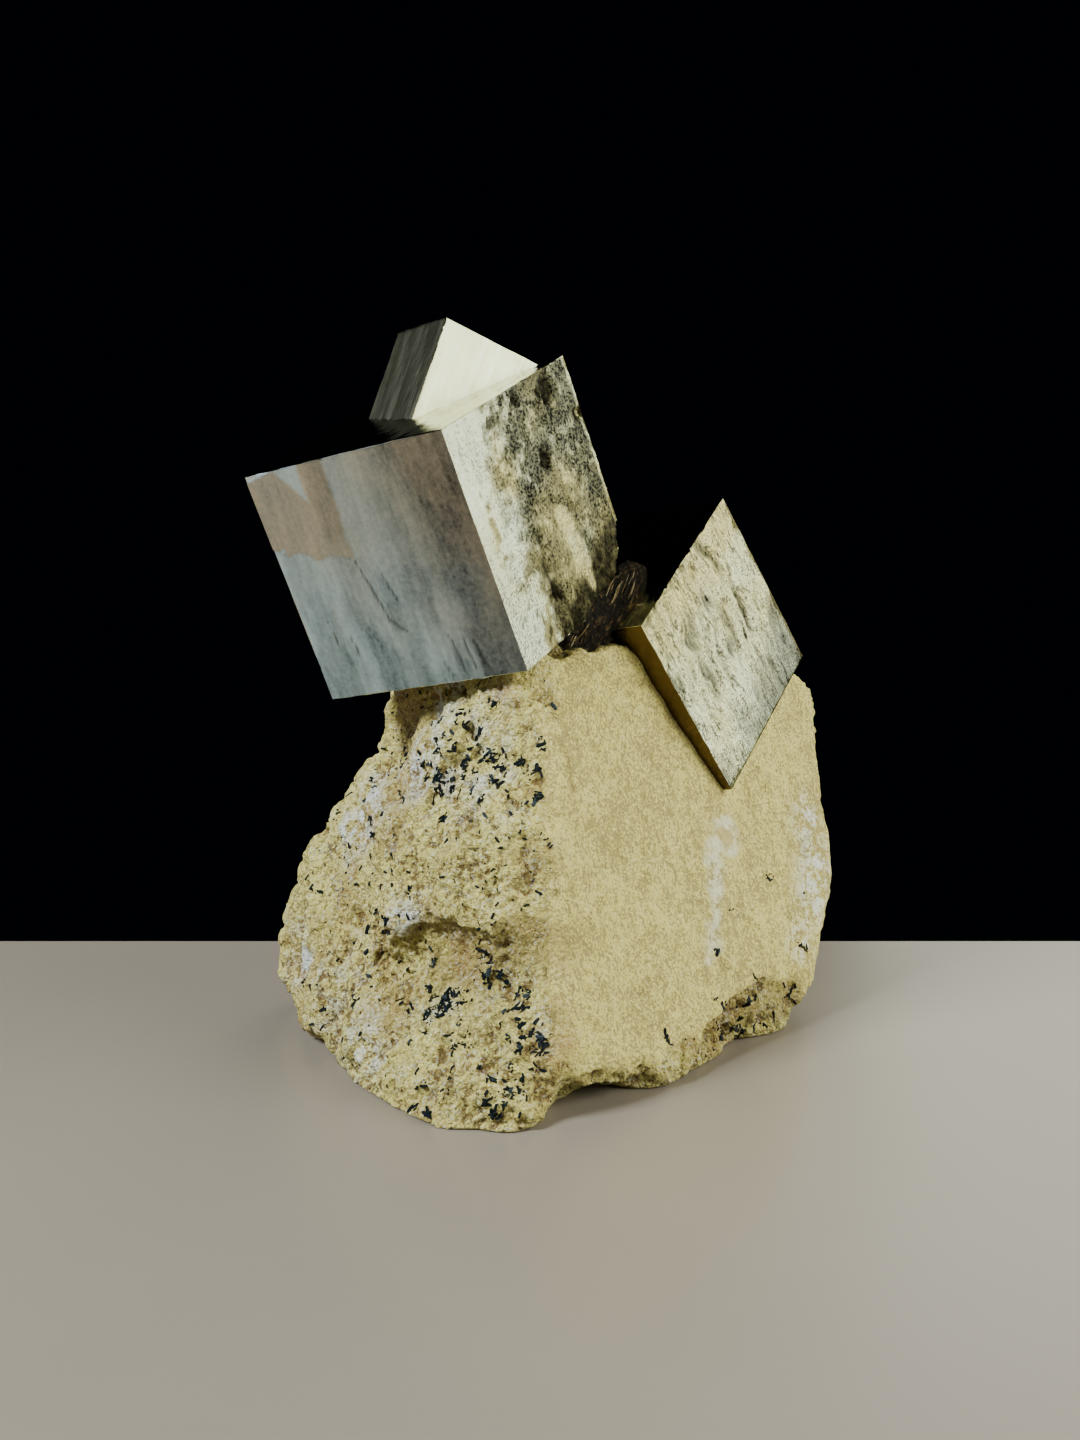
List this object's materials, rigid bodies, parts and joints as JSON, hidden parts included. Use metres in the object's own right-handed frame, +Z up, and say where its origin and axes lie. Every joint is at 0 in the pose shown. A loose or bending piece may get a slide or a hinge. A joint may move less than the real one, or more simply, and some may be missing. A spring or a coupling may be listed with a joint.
{
  "type": "pyrite cube specimen",
  "caption": "Pyrite cubes with striated mirror faces, intergrown and set in a rough block of beige marl that stands on a flat foot.",
  "frame": {"origin": "bottom centre of the specimen's bounding box, on the plane that it rests on", "axes": "+Z up, -Y towards the viewer of the picture, so that the large cube is at -X and the side cube at +X"},
  "size_m": [0.0908, 0.0874, 0.1091],
  "materials": {
    "pyrite": "metallic lustre, pale brass yellow, striated",
    "marl": "matt, fine-grained, rough where broken"
  },
  "bodies": {
    "root": {"main_crystals": "pyrite", "side_cube": "pyrite", "marl_matrix": "marl"}
  },
  "joints": []
}
